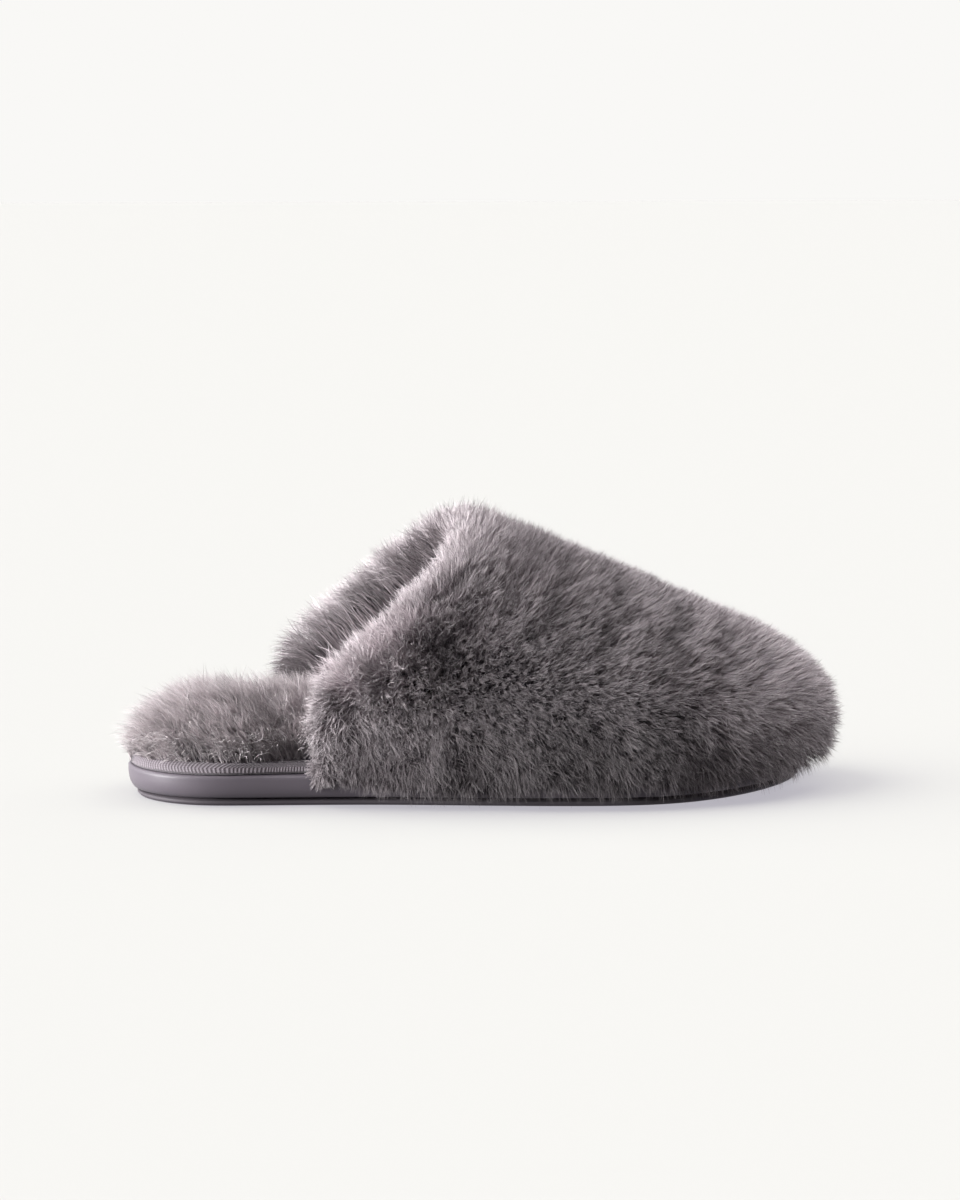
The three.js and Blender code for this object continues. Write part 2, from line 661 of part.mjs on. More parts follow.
// The rubber sheet, set in to the midsole's lower edge, with shallow grooves across its tread.
function outsoleSolid() {
  const inset = SOLE_EDGE_ROUND * MIDSOLE_SIDE[0].inset;
  const body = slab([
    { outset: () => -inset - OUTSOLE_THICKNESS / 2, height: () => 0 },
    { outset: () => -inset, height: () => OUTSOLE_THICKNESS / 2 },
    { outset: () => -inset, height: () => OUTSOLE_THICKNESS },
  ]);
  return TREAD.flatMap(grooves).reduce((left, cut) => left.subtract(cut), body);
}

function grooves({ from, to }) {
  const made = [];
  for (let x = xAt(from); x <= xAt(to); x += GROOVE_PITCH) {
    const half = plainHalfWidth(x) * GROOVE_SHARE;
    const low = new THREE.Vector3(x - GROOVE_WIDTH / 2, middleLine(x) - half, -GROOVE_DEPTH);
    const high = new THREE.Vector3(x + GROOVE_WIDTH / 2, middleLine(x) + half, GROOVE_DEPTH + spring(x));
    made.push(block(low, high));
  }
  return made;
}

function midsoleSolid() {
  const levels = MIDSOLE_SIDE.map((row) => ({
    outset: () => -row.inset * SOLE_EDGE_ROUND,
    height: () => MIDSOLE_BASE + row.up * MIDSOLE_HEIGHT,
  }));
  return slab(levels);
}

function footbedSolid() {
  const levels = FOOTBED_SIDE.map((row) => ({
    outset: (x) => footbedOutset(x) - row.inset * FOOTBED_THICKNESS,
    height: () => UPPER_BASE + row.up * FOOTBED_THICKNESS,
  }));
  return slab(levels);
}

// Locks that radiate from the insole fur round the back of the heel, in two rows.
function heelLocks() {
  const reach = HEEL_WIDTH / 2 - EDGE_LOCK_RADIUS;
  const made = [];
  for (let i = 0; i < HEEL_LOCKS; i++) {
    const row = HEEL_LOCK_ROWS[i % HEEL_LOCK_ROWS.length];
    const turn = Math.PI * (HEEL_FAN.from + ((HEEL_FAN.to - HEEL_FAN.from) * i) / (HEEL_LOCKS - 1));
    const direction = new THREE.Vector3(Math.cos(turn), Math.sin(turn), row.rise);
    const root = new THREE.Vector3(
      HEEL_WIDTH / 2 - SOLE_LENGTH / 2 + reach * direction.x,
      middleLine(-SOLE_LENGTH / 2) + reach * direction.y,
      PAD_BASE + HEEL_PILE * row.up,
    );
    made.push(lock(root, direction.normalize(), HEEL_LOCK_LENGTH, EDGE_LOCK_RADIUS, 1));
  }
  return made;
}

// The insole's deep pile: a dome with locks, wide over the heel's edge and low under the vamp.
function insoleFur() {
  const levels = PAD_SIDE.map((row, k) => ({
    outset: (x) => footbedOutset(x) - row.inset + row.outset * HEEL_OVERHANG * padOverhang(shareAt(x)),
    height: (x, i) => {
      const hollow = k > 1 && (i + k) % 2 ? PAD_LOCK_DEPTH : 0;
      return PAD_BASE + (row.up * HEEL_PILE - hollow) * padHeight(shareAt(x));
    },
  }));
  const furred = heelLocks().reduce((all, one) => all.add(one), slab(levels, true));
  return mainBody(furred.subtract(furMass(SEAM_GAP).subtract(footSpace(SEAM_GAP))));
}

const finish = (color, roughness) => new THREE.MeshStandardMaterial({ color, roughness, metalness: 0 });
const rubber = finish("#5b555d", 0.62);
const foam = finish("#6d6770", 0.55);
const twill = finish("#958b90", 0.85);
const lining = finish("#8d8488", 0.95);
const vampPile = finish("#7d7577", 1);
const insolePile = finish("#9c9294", 1);

const slipper = new THREE.Group();
slipper.name = "scuff_slipper";
slipper.add(
  toMesh("outsole", outsoleSolid(), rubber),
  toMesh("midsole", midsoleSolid(), foam),
  toMesh("footbed", footbedSolid(), twill),
  toMesh("insole_fur", insoleFur(), insolePile),
  toMesh("upper", upperSolid(), lining),
  toMesh("vamp_fur", furCoat(), vampPile),
);

export default slipper;
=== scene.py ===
# %% [markdown]
# A scuff slipper in long faux fur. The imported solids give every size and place; this lesson gives the
# slipper its looks: a smooth foam sole, a twill-wrapped footbed and a coat of real mesh strands.

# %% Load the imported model
import math

import bmesh
import bpy
import numpy as np
from mathutils import Matrix, Vector
from mathutils.kdtree import KDTree


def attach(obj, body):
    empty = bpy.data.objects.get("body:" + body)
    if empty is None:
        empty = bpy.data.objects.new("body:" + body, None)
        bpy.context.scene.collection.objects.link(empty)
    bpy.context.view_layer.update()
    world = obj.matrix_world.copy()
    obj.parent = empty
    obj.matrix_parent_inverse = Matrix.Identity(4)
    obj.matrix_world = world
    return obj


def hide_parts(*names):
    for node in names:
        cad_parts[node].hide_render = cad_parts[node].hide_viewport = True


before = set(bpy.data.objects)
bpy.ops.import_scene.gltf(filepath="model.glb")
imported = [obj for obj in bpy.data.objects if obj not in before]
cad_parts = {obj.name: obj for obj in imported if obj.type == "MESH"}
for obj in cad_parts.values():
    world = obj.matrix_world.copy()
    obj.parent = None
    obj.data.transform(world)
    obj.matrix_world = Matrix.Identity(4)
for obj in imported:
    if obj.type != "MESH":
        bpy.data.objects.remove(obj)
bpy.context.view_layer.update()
MM = 0.001
print("solids:", sorted(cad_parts))

# %% [markdown]
# The photograph looks at the slipper's outer side from just above the floor with a long lens. The camera
# turns a little towards the heel, so that the outer edge of the sole runs level in the picture.

# %% Camera
PICTURE_HEIGHT = 1200
MM_A_PIXEL = 0.3785
SENSOR_WIDTH = 36
CAMERA_DISTANCE = 1.6
CAMERA_TURN = math.radians(-5)
CAMERA_RISE = math.radians(7.5)
LOOK_AT = Vector((3.7 * MM, 0, 71.9 * MM))

lens = bpy.data.cameras.new("camera")
lens.sensor_width = SENSOR_WIDTH
lens.lens = SENSOR_WIDTH * CAMERA_DISTANCE / (PICTURE_HEIGHT * MM_A_PIXEL * MM)
camera = bpy.data.objects.new("camera", lens)
bpy.context.scene.collection.objects.link(camera)
towards_camera = Vector((
    math.sin(CAMERA_TURN) * math.cos(CAMERA_RISE),
    -math.cos(CAMERA_TURN) * math.cos(CAMERA_RISE),
    math.sin(CAMERA_RISE),
))
camera.location = LOOK_AT + towards_camera * CAMERA_DISTANCE
camera.rotation_mode = "QUATERNION"
camera.rotation_quaternion = (-towards_camera).to_track_quat("-Z", "Y")
bpy.context.scene.camera = camera
print("lens", round(lens.lens, 1), "mm")

# %% [markdown]
# A finish is a small graph of nodes. Shader sums read best as sums, so a small class wraps a node's output
# and + - * between outputs and numbers add Math nodes. One method makes every other node from its type,
# its settings and its sockets. A finish is such a graph with a Principled shader at its end.


# %% Shader helpers
class Wire:
    """A node's output that can be added, subtracted and multiplied, as a number can."""

    def __init__(self, graph, socket):
        self.graph = graph
        self.socket = socket

    def sum(self, operation, first, second):
        return self.graph.node("ShaderNodeMath", {"operation": operation}, {0: first, 1: second})

    def __add__(self, other):
        return self.sum("ADD", self, other)

    def __radd__(self, other):
        return self.sum("ADD", other, self)

    def __sub__(self, other):
        return self.sum("SUBTRACT", self, other)

    def __rsub__(self, other):
        return self.sum("SUBTRACT", other, self)

    def __mul__(self, other):
        return self.sum("MULTIPLY", self, other)

    def __rmul__(self, other):
        return self.sum("MULTIPLY", other, self)


class Graph:
    """A node tree, built node by node."""

    def __init__(self, tree):
        self.tree = tree

    def node(self, kind, settings=(), sockets=(), output=0):
        made = self.tree.nodes.new(kind)
        for name, value in dict(settings).items():
            setattr(made, name, value)
        for name, value in dict(sockets).items():
            self.feed(made.inputs[name], value)
        return Wire(self, made.outputs[output])

    def feed(self, socket, value):
        if isinstance(value, Wire):
            self.tree.links.new(value.socket, socket)
        else:
            socket.default_value = value


class Finish(Graph):
    """A material with one Principled shader."""

    def __init__(self, name):
        self.material = bpy.data.materials.new(name)
        self.material.use_nodes = True
        super().__init__(self.material.node_tree)
        self.shader = self.tree.nodes["Principled BSDF"]

    def set(self, **sockets):
        for name, value in sockets.items():
            self.feed(self.shader.inputs[name.replace("_", " ")], value)
        return self

    def blend(self, amount, first, second):
        return self.node("ShaderNodeMix", {"data_type": "RGBA"}, {0: amount, 6: first, 7: second}, output=2)

    def spread(self, value, start, end):
        """The value's share of the way from start to end."""
        return self.node("ShaderNodeMapRange", {}, {0: value, 1: start, 2: end})

    def attribute(self, name):
        return self.node("ShaderNodeAttribute", {"attribute_name": name}, output=2)

    def place(self):
        return self.node("ShaderNodeTexCoord", output=3)

    def noise(self, scale, detail):
        sockets = {"Vector": self.place(), "Scale": scale, "Detail": detail}
        return self.node("ShaderNodeTexNoise", {}, sockets)

    def bump(self, height, distance, strength=1.0):
        sockets = {"Height": height, "Distance": distance, "Strength": strength}
        return self.node("ShaderNodeBump", {}, sockets)


def tone(red, green, blue):
    """A linear colour from the 0 to 255 values that a screen shows."""
    parts = [value / 255 for value in (red, green, blue)]
    linear = [p / 12.92 if p <= 0.04045 else ((p + 0.055) / 1.055) ** 2.4 for p in parts]
    return (*linear, 1.0)


# %% [markdown]
# The sole is one moulding of soft foam on a thin rubber sheet. Both are satin and almost plain. Two noises
# keep them from looking like plastic: a faint mottle in colour and gloss, and a very fine grain as bump.

# %% Sole finishes
MOTTLE_SCALE = 60.0
MOTTLE_SHADE = 0.86
MOTTLE_ROUGHNESS = 0.12
GRAIN_SCALE = 2400.0
GRAIN_HEIGHT = 0.03 * MM


def sole_finish(name, color, roughness):
    finish = Finish(name)
    mottle = finish.noise(MOTTLE_SCALE, 4.0)
    grain = finish.noise(GRAIN_SCALE, 2.0)
    darker = tuple(MOTTLE_SHADE * part for part in color[:3]) + (1.0,)
    return finish.set(
        Base_Color=finish.blend(mottle, darker, color),
        Roughness=roughness + MOTTLE_ROUGHNESS * (mottle - 0.5),
        Normal=finish.bump(grain, GRAIN_HEIGHT, 0.5),
        Specular_IOR_Level=0.4,
    ).material


foam_finish = sole_finish("satin_foam", tone(102, 95, 103), 0.45)
rubber_finish = sole_finish("dull_rubber", tone(88, 82, 88), 0.62)
print("sole finishes:", foam_finish.name, rubber_finish.name)

# %% [markdown]
# The solids are faceted, so the sole's pieces are copies of them that are merged, creased at their sharp
# edges and subdivided. The outline turns into a smooth curve and keeps its place.

# %% Smooth copies of the sole's solids
WELD = 0.002 * MM
SHARP = math.radians(38)
NEARLY_FLAT = math.radians(25)
NEARLY_SQUARE = math.radians(60)
ROUNDINGS = 2


def merged(node):
    """A bmesh of a node's solid, with its loose triangles joined."""
    shape = bmesh.new()
    shape.from_mesh(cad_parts[node].data)
    bmesh.ops.remove_doubles(shape, verts=shape.verts, dist=WELD)
    return shape


def add_piece(name, mesh, finish, node):
    """Turns a mesh into a named piece that rides on the slipper and stands for a node."""
    mesh.materials.append(finish)
    piece = bpy.data.objects.new(name, mesh)
    bpy.context.scene.collection.objects.link(piece)
    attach(piece, "root")
    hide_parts(node)
    return piece


def smooth_copy(node, name, finish):
    shape = merged(node)
    bmesh.ops.join_triangles(
        shape, faces=shape.faces, angle_face_threshold=NEARLY_FLAT, angle_shape_threshold=NEARLY_SQUARE
    )
    crease = shape.edges.layers.float.new("crease_edge")
    for edge in shape.edges:
        if len(edge.link_faces) == 2 and edge.calc_face_angle() > SHARP:
            edge[crease] = 1.0
    for face in shape.faces:
        face.smooth = True
    mesh = bpy.data.meshes.new(name)
    shape.to_mesh(mesh)
    shape.free()
    piece = add_piece(name, mesh, finish, node)
    rounder = piece.modifiers.new("rounder", "SUBSURF")
    rounder.levels = rounder.render_levels = ROUNDINGS
    print(name, len(mesh.polygons), "faces before rounding")
    return piece


smooth_copy("midsole", "foam_midsole", foam_finish)
smooth_copy("outsole", "rubber_outsole", rubber_finish)

# %% [markdown]
# The footbed is a board and thin foam in a grey twill, and its rim shows round the heel. The weave is two
# slanting sets of waves, one for the ribs and one for the stitches that cross them. They run on the height
# and on the distance round the outline, so that the ribs follow the rim instead of sliding across it.

# %% Twill
RIB = 1.35 * MM
RIB_HEIGHT = 0.25 * MM
RIB_SLANT = 0.9
RIB_SHARE = 0.35
STITCH_SLANT = 1.1
STITCH_SHARE = 0.2

twill = Finish("footbed_twill")
around = twill.attribute("around")
height = twill.node("ShaderNodeSeparateXYZ", {}, {0: twill.place()}, output=2)


def waves(distance):
    """A wave with one crest to each rib."""
    return twill.node("ShaderNodeMath", {"operation": "SINE"}, {0: distance * (2 * math.pi / RIB)})


rib = waves(around + RIB_SLANT * height)
stitch = waves(around - STITCH_SLANT * height)
weave = rib * RIB_SHARE + stitch * rib * STITCH_SHARE + 0.5
twill.set(
    Base_Color=twill.blend(weave, tone(79, 71, 77), tone(148, 139, 146)),
    Roughness=0.8,
    Normal=twill.bump(weave, RIB_HEIGHT),
    Sheen_Weight=0.2,
)

# %% [markdown]
# The distance round the outline is measured in the plan view, along the farthest places in each direction,
# and each vertex of the footbed keeps its own in an attribute that the twill reads.

# %% Footbed
DIRECTIONS = 721
SECTOR = 0.035
SMOOTHINGS = 12


def plan_outline(points):
    """The outermost places round a plan view, in order: angles and a closed line of x and y."""
    angles = np.arctan2(points[:, 1], points[:, 0])
    reach = np.hypot(points[:, 0], points[:, 1])
    middle = np.linspace(-math.pi, math.pi, DIRECTIONS)
    farthest = np.array([reach[np.abs(angles - a) < SECTOR].max(initial=0) for a in middle])
    farthest = np.interp(middle, middle[farthest > 0], farthest[farthest > 0])
    for _ in range(SMOOTHINGS):
        farthest[1:-1] = (farthest[:-2] + 2 * farthest[1:-1] + farthest[2:]) / 4
    return middle, np.stack([farthest * np.cos(middle), farthest * np.sin(middle)], 1)


def places_of(mesh):
    places = np.empty(len(mesh.vertices) * 3)
    mesh.vertices.foreach_get("co", places)
    return places.reshape(-1, 3)


def around_outline(mesh):
    """Gives each vertex its distance round the outline, so that the weave follows the edge."""
    places = places_of(mesh)
    angles, line = plan_outline(places)
    length = np.concatenate([[0], np.cumsum(np.hypot(*np.diff(line, axis=0).T))])
    own = np.interp(np.arctan2(places[:, 1], places[:, 0]), angles, length)
    mesh.attributes.new("around", "FLOAT", "POINT").data.foreach_set("value", own.astype(np.float32))
    print("footbed outline", round(length[-1] / MM), "mm round")


footbed = smooth_copy("footbed", "twill_footbed", twill.material)
around_outline(footbed.data)

# %% [markdown]
# Inside, the vamp is lined with a short brushed cloth. Little of it shows behind the fur, so the packed
# solid keeps its shape there and only takes the cloth's finish: a fine noise for the brushed nap.

# %% Lining
NAP_SCALE = 900.0
NAP_HEIGHT = 0.4 * MM

lining = Finish("brushed_lining")
nap = lining.noise(NAP_SCALE, 4.0)
lining.set(
    Base_Color=lining.blend(nap, tone(70, 65, 67), tone(112, 105, 108)),
    Roughness=0.95,
    Normal=lining.bump(nap, NAP_HEIGHT),
    Sheen_Weight=0.3,
)
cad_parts["upper"].data.materials[0] = lining.material
print("lining:", lining.material.name)

# %% [markdown]
# The fur is the slipper's face. Each hair is a narrow tapered ribbon, and there are far too many to place
# by hand, so they are made from arrays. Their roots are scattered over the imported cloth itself, evenly by
# area, which keeps the coat on the slipper's own form. One seeded generator draws every random number.


# %% Scattering roots
rng = np.random.default_rng(11)


def faces_of(shape):
    """Triangles of a shape as arrays: corner places, face normals and the corners' vertex numbers."""
    bmesh.ops.triangulate(shape, faces=shape.faces)
    corners = np.array([[v.co for v in face.verts] for face in shape.faces])
    flat = np.array([face.normal for face in shape.faces])
    keys = np.array([[v.index for v in face.verts] for face in shape.faces])
    return corners, flat, keys


def sizes_of(corners):
    """Twice the area of each triangle."""
    return np.linalg.norm(np.cross(corners[:, 1] - corners[:, 0], corners[:, 2] - corners[:, 0]), axis=1)


def soften(corners, flat, keys, chosen):
    """Corner normals averaged over the chosen faces that share a vertex."""
    total = np.zeros((keys.max() + 1, 3))
    size = sizes_of(corners)
    for corner in range(3):
        np.add.at(total, keys[chosen, corner], flat[chosen] * size[chosen, None])
    normals = total[keys]
    return normals / np.maximum(np.linalg.norm(normals, axis=2, keepdims=True), 1e-9)


def scatter(corners, weight, count):
    """Random points on triangles: the triangle of each, and its shares of the three corners."""
    share = sizes_of(corners) * weight
    pick = rng.choice(len(corners), size=count, p=share / share.sum())
    a, b = rng.random(count), rng.random(count)
    beyond = a + b > 1
    a[beyond], b[beyond] = 1 - a[beyond], 1 - b[beyond]
    return pick, np.stack([1 - a - b, a, b], 1)[:, :, None]


def between(values, pick, mix):
    """The value at each scattered point, from the values at its triangle's corners."""
    return (values[pick] * mix).sum(1)


# %% [markdown]
# A hair leaves its root steeply and lies down towards its tip. Hairs gather into fine points, and those
# into broader locks, as a real pile does once it has been worn and brushed. So each random number has a
# part for the hair alone, one for its point and one for its lock, and tangled fur strays further.


# %% Groups of hairs
def unit(vectors):
    return vectors / np.maximum(np.linalg.norm(vectors, axis=1, keepdims=True), 1e-9)


def ramp(values, start, end):
    """How far values are on the way from start to end, from 0 to 1."""
    return np.clip((values - start) / (end - start), 0, 1)


def nearest(points, centres):
    """For each point, the number of its nearest centre and how far away that is."""
    tree = KDTree(len(centres))
    for i, centre in enumerate(centres):
        tree.insert(centre, i)
    tree.balance()
    found = [tree.find(point) for point in points]
    return np.array([f[1] for f in found]), np.array([f[2] for f in found])


def stray(start, groups, spreads, tangle):
    """A number for each hair: a start, and a random step for each group that the hair is in."""
    total = start
    for group, (always, tangled) in zip(groups, spreads):
        step = rng.normal(0, 1, group.max() + 1)[group]
        total = total + (always + tangled * tangle) * step
    return total


# %% Growing hairs
# Spreads of the hair alone, of its point and of its lock: what is always there, and more by tangle.
COMB_SPREAD = [(0.34, 0), (0.3, 0.4), (0.08, 0.5)]
TILT_SPREAD = [(0.12, 0), (0.06, 0.2), (0.02, 0.3)]
LENGTH_SPREAD = [(0.06, 0), (0.02, 0.12)]
SHADE_SPREAD = [(0.16, 0), (0.14, 0), (0.06, 0)]
HAIRS_A_POINT = 4
STRONG_COMB = 0.8
SHORTEST, LONGEST = 0.6, 1.12
DARKEST, LIGHTEST = 0.5, 1.4
LOWEST, STEEPEST = -0.4, 1.55
ROOT_PART, TIP_PART = 1.3, 0.7
GATHER_CURVE = 1.5
GATHER_POINT = 0.15
GATHER_BY_TANGLE = 0.5
GATHER_LOCK = 0.15


def grow(roots, normals, comb, lift, length, tangle, segments, bend=0.45, hairs_a_lock=90):
    """Points along each hair, and each hair's random shade."""
    count = len(roots)
    each = np.arange(count)
    point = nearest(roots, roots[: count // HAIRS_A_POINT])[0]
    lock = nearest(roots, roots[: count // hairs_a_lock])[0]
    groups = [each, point, lock]
    mess = np.broadcast_to(tangle, count)[:, None]
    lean = 0
    for group, (always, tangled) in zip(groups, COMB_SPREAD):
        lean = lean + (always + tangled * mess) * rng.normal(0, 1, (count, 3))[group]
    comb = comb + lean
    comb -= normals * np.sum(comb * normals, axis=1, keepdims=True)
    comb /= np.maximum(np.linalg.norm(comb, axis=1, keepdims=True), STRONG_COMB)
    tilt = stray(lift, groups, TILT_SPREAD, tangle)
    size = np.clip(length * stray(1, groups, LENGTH_SPREAD, tangle), SHORTEST * length, LONGEST * length)
    shares = np.linspace(ROOT_PART, TIP_PART, segments)
    shares /= shares.sum()
    points = [roots]
    for turn, share in zip(np.linspace(bend, -bend, segments), shares):
        angle = np.clip(tilt + turn, LOWEST, STEEPEST)[:, None]
        step = unit(comb * np.cos(angle) + normals * np.sin(angle))
        points.append(points[-1] + (size * share)[:, None] * step)
    points = np.stack(points, 1)
    along = np.linspace(0, 1, segments + 1)[None, :, None] ** GATHER_CURVE
    mess = mess[:, None]
    points += (GATHER_LOCK * mess) * along * (points[lock] - points)
    points += (GATHER_POINT + GATHER_BY_TANGLE * mess) * along * (points[point] - points)
    return points, np.clip(stray(1, groups, SHADE_SPREAD, tangle), DARKEST, LIGHTEST)


# %% [markdown]
# A ribbon has two sides that taper to one tip. Ribbons that lie on the coat face outwards, so that they
# catch the light as brushed fur does, and those that are seen from all round turn every way. Each hair
# keeps how far along it a place is, moved towards the light tip where light is painted, and its shade,
# which holds painted light and shade, for the finish, and a small patch of the texture map.


# %% Hairs to ribbons
OUTWARDS = 0.4
ALL_ROUND = 0.9
TAPER = 0.45
FLOOR_GAP = 0.3 * MM
PATCH_START, PATCH_SIZE = 0.1, 0.8


def ribbon_places(points, normals, width, roll):
    """Two places across each point of each hair, and one at its tip."""
    count, rows = points.shape[:2]
    along = unit(points[:, -1] - points[:, 0])
    across = unit(np.cross(along, normals))
    up = unit(np.cross(across, along))
    turn = rng.normal(0, roll, count)[:, None]
    side = (across * np.cos(turn) + up * np.sin(turn)) * width / 2
    places = np.empty((count, 2 * rows - 1, 3))
    for row in range(rows - 1):
        narrow = 1 - TAPER * (row / (rows - 1)) ** 2
        places[:, 2 * row] = points[:, row] - side * narrow
        places[:, 2 * row + 1] = points[:, row] + side * narrow
    places[:, -1] = points[:, -1]
    places[:, :, 2] = np.maximum(places[:, :, 2], FLOOR_GAP)
    return places


def ribbon_mesh(name, places, quads):
    """One mesh of ribbons, with quads along each hair and a triangle at its tip, and a hair's corners."""
    count, size = places.shape[:2]
    ring = []
    for first in range(0, 2 * quads, 2):
        ring += [first, first + 1, first + 3, first + 2]
    ring += [2 * quads, 2 * quads + 1, 2 * quads + 2]
    starts = 4 * np.arange(quads + 1)
    hair = np.arange(count)[:, None]
    mesh = bpy.data.meshes.new(name)
    mesh.vertices.add(size * count)
    mesh.vertices.foreach_set("co", places.ravel())
    mesh.loops.add(len(ring) * count)
    mesh.loops.foreach_set("vertex_index", (size * hair + np.array(ring)).ravel())
    mesh.polygons.add((quads + 1) * count)
    mesh.polygons.foreach_set("loop_start", (len(ring) * hair + starts).ravel())
    mesh.polygons.foreach_set("use_smooth", np.ones((quads + 1) * count, bool))
    mesh.update(calc_edges=True)
    return mesh, ring


def add_fur(name, points, normals, shade, pale, width, coat, roll=OUTWARDS):
    """A piece of fur, with the attributes that its finish reads."""
    count, rows = points.shape[:2]
    quads = rows - 2
    places = ribbon_places(points, normals, width, roll)
    size = places.shape[1]
    mesh, ring = ribbon_mesh(name, places, quads)
    share = np.append(np.repeat(np.arange(rows - 1) / (rows - 1), 2), 1.0)
    # pale moves the whole hair towards its light tip colour: painted light
    pale = np.broadcast_to(pale, count)[:, None]
    along = pale + (1 - pale) * share
    mesh.attributes.new("along", "FLOAT", "POINT").data.foreach_set("value", along.ravel())
    mesh.attributes.new("shade", "FLOAT", "POINT").data.foreach_set("value", np.repeat(shade, size))
    cells = math.ceil(math.sqrt(count))
    hair = np.arange(count)
    corner = np.stack([hair % cells, hair // cells], 1)[:, None, :]
    spots = np.stack([np.append(np.arange(size - 1) % 2, 0.5), share], 1) * PATCH_SIZE + PATCH_START
    mesh.uv_layers.new(name="OFBake").data.foreach_set("uv", ((corner + spots[ring]) / cells).ravel())
    finish, slot, node = coat
    print(name, count, "hairs,", (2 * quads + 1) * count, "triangles")
    return add_piece(name, mesh, finish, node)


# %% [markdown]
# A hair is darkest at its root, painted shade for where the others shade it, takes the coat's own colour
# further up, and has a light tip: partly the fur's own frosting, partly painted light for the light that
# shines through the tips. Its shade then makes the whole hair darker or lighter: a random tone times the
# painted light and shade of its place. The pile at the heel is the same fur, painted lighter from root to
# tip as painted light for the light that it catches and lets through. Both are soft: rough, with little
# gloss and a faint sheen.


# %% Fur finish
ROOT_TO_BODY = (0.05, 0.62)
BODY_TO_TIP = (0.6, 1.0)


def fur_finish(name, root, body, tip):
    finish = Finish(name)
    along = finish.attribute("along")
    low = finish.blend(finish.spread(along, *ROOT_TO_BODY), root, body)
    full = finish.blend(finish.spread(along, *BODY_TO_TIP), low, tip)
    shaded = finish.node("ShaderNodeHueSaturation", {}, {"Value": finish.attribute("shade"), "Color": full})
    return finish.set(
        Base_Color=shaded,
        Roughness=0.6,
        Specular_IOR_Level=0.3,
        Sheen_Weight=0.15,
        Sheen_Roughness=0.4,
    ).material


# Dark roots: painted shade. Light tips: partly the fur's frosting, partly painted light.
vamp_pile = fur_finish("vamp_pile", tone(64, 53, 59), tone(127, 117, 121), tone(190, 182, 185))
# Painted light: the heel's pile is the same fur, lighter from root to tip.
insole_pile = fur_finish("insole_pile", tone(148, 138, 142), tone(184, 175, 178), tone(200, 192, 194))
# Each coat: its finish, its slot and the node that it stands for.
VAMP_COAT = (vamp_pile, "vamp_pile", "vamp_fur")
INSOLE_COAT = (insole_pile, "insole_pile", "insole_fur")
print("fur finishes:", vamp_pile.name, insole_pile.name)

# %% [markdown]
# The comb of the vamp. Each guide is a place in the side view, in mm, the way the pile runs there, how
# steeply it stands, how long it is, how tangled, and the light and shade painted into its colour there:
# painted light where the light falls on the collar and the toe, painted shade on the side towards the
# camera, low by the sole and in the parting. The pile parts behind the middle of the vamp: behind the
# parting it stands up and back to the collar, and ahead of it it fans out over the instep, the side and the
# toe. The inner side follows the same guides, only calmer, with its painted light and shade faded towards
# even.

# %% Guides of the vamp
VAMP_GUIDES = [
    # x, z, along x, up, lift, length, tangle, painted light
    (-76, 44, -0.7, 0.6, 1, 25, 0.3, 1.18),
    (-70, 28, -0.3, -1, 0.6, 13, 0.2, 0.8),
    (-58, 23, -0.2, -1, 0.7, 10, 0.3, 0.78),
    (-63, 15, -0.7, -0.5, 0.8, 6, 0.2, 0.7),
    (-50, 15, 0, -1, 0.5, 7, 0.3, 0.76),
    (-62, 46, -0.6, 0.7, 1.1, 24, 0.25, 1.18),
    (-48, 32, 0, -0.9, 0.9, 15, 0.3, 1.00),
    (-45, 54, -0.6, 0.7, 1, 23, 0.25, 1.35),
    (-28, 70, -0.5, 0.85, 1, 22, 0.2, 1.25),
    (-31, 49, -0.3, -0.1, 1.45, 16, 0.25, 1.4),
    (-22, 34, 0.1, -0.9, 1.2, 14, 0.3, 0.75),
    (-10, 52, 0.2, 0.1, 1.4, 13, 0.2, 0.56),
    (-14, 84, -0.4, 0.9, 1, 20, 0.25, 1.3),
    (4, 96, 0, 0.9, 1, 20, 0.2, 1.18),
    (6, 70, 0.6, 0.7, 1.2, 15, 0.25, 0.82),
    (18, 90, 0.7, 0.7, 1.25, 14, 0.2, 0.96),
    (-36, 14, 0.2, -1, 0.3, 13, 0.3, 0.45),
    (0, 14, 0.2, -1, 0.3, 13, 0.25, 0.34),
    (10, 34, 0.7, -0.6, 1.3, 13, 0.25, 0.54),
    (30, 52, 1, 0.1, 1.32, 13, 0.2, 0.62),
    (30, 22, 0.5, -0.8, 1.05, 13, 0.25, 0.34),
    (40, 14, 0.2, -1, 0.3, 13, 0.25, 0.34),
    (45, 80, 1, 0.1, 1.35, 12.5, 0.2, 0.96),
    (60, 50, 1, -0.1, 1.32, 13, 0.2, 0.82),
    (60, 22, 0.6, -0.8, 0.95, 13, 0.2, 0.38),
    (70, 68, 1, -0.2, 1.35, 12.5, 0.2, 0.99),
    (80, 14, 0.3, -1, 0.35, 13, 0.25, 0.5),
    (92, 54, 1, -0.3, 1.38, 13.5, 0.2, 1.10),
    (95, 26, 0.9, -0.5, 1, 14, 0.15, 1.08),
    (112, 40, 1, -0.3, 1.3, 14.5, 0.2, 1.32),
    (110, 16, 0.4, -1, 0.4, 14, 0.2, 1.10),
    (128, 28, 1, -0.2, 1.2, 17, 0.15, 1.40),
    (128, 16, 0.4, -1, 0.5, 9, 0.15, 1.28),
]
GUIDE_REACH = 10
SIDE_REST = 45 * MM
RAISED_VIEW = math.tan(CAMERA_RISE)
INNER_BAND = 20 * MM
INNER_CALM = 0.5


def side_spot(points):
    """Places in the side view, in mm, as the raised camera sees them, the same for both sides."""
    seen_height = points[:, 2] + (SIDE_REST - np.abs(points[:, 1])) * RAISED_VIEW
    return np.stack([points[:, 0], seen_height], 1) / MM


def inner_side(roots):
    """0 on the outer side, 1 on the inner side, with a soft change at the ridge."""
    return ramp(roots[:, 1], 0, INNER_BAND)


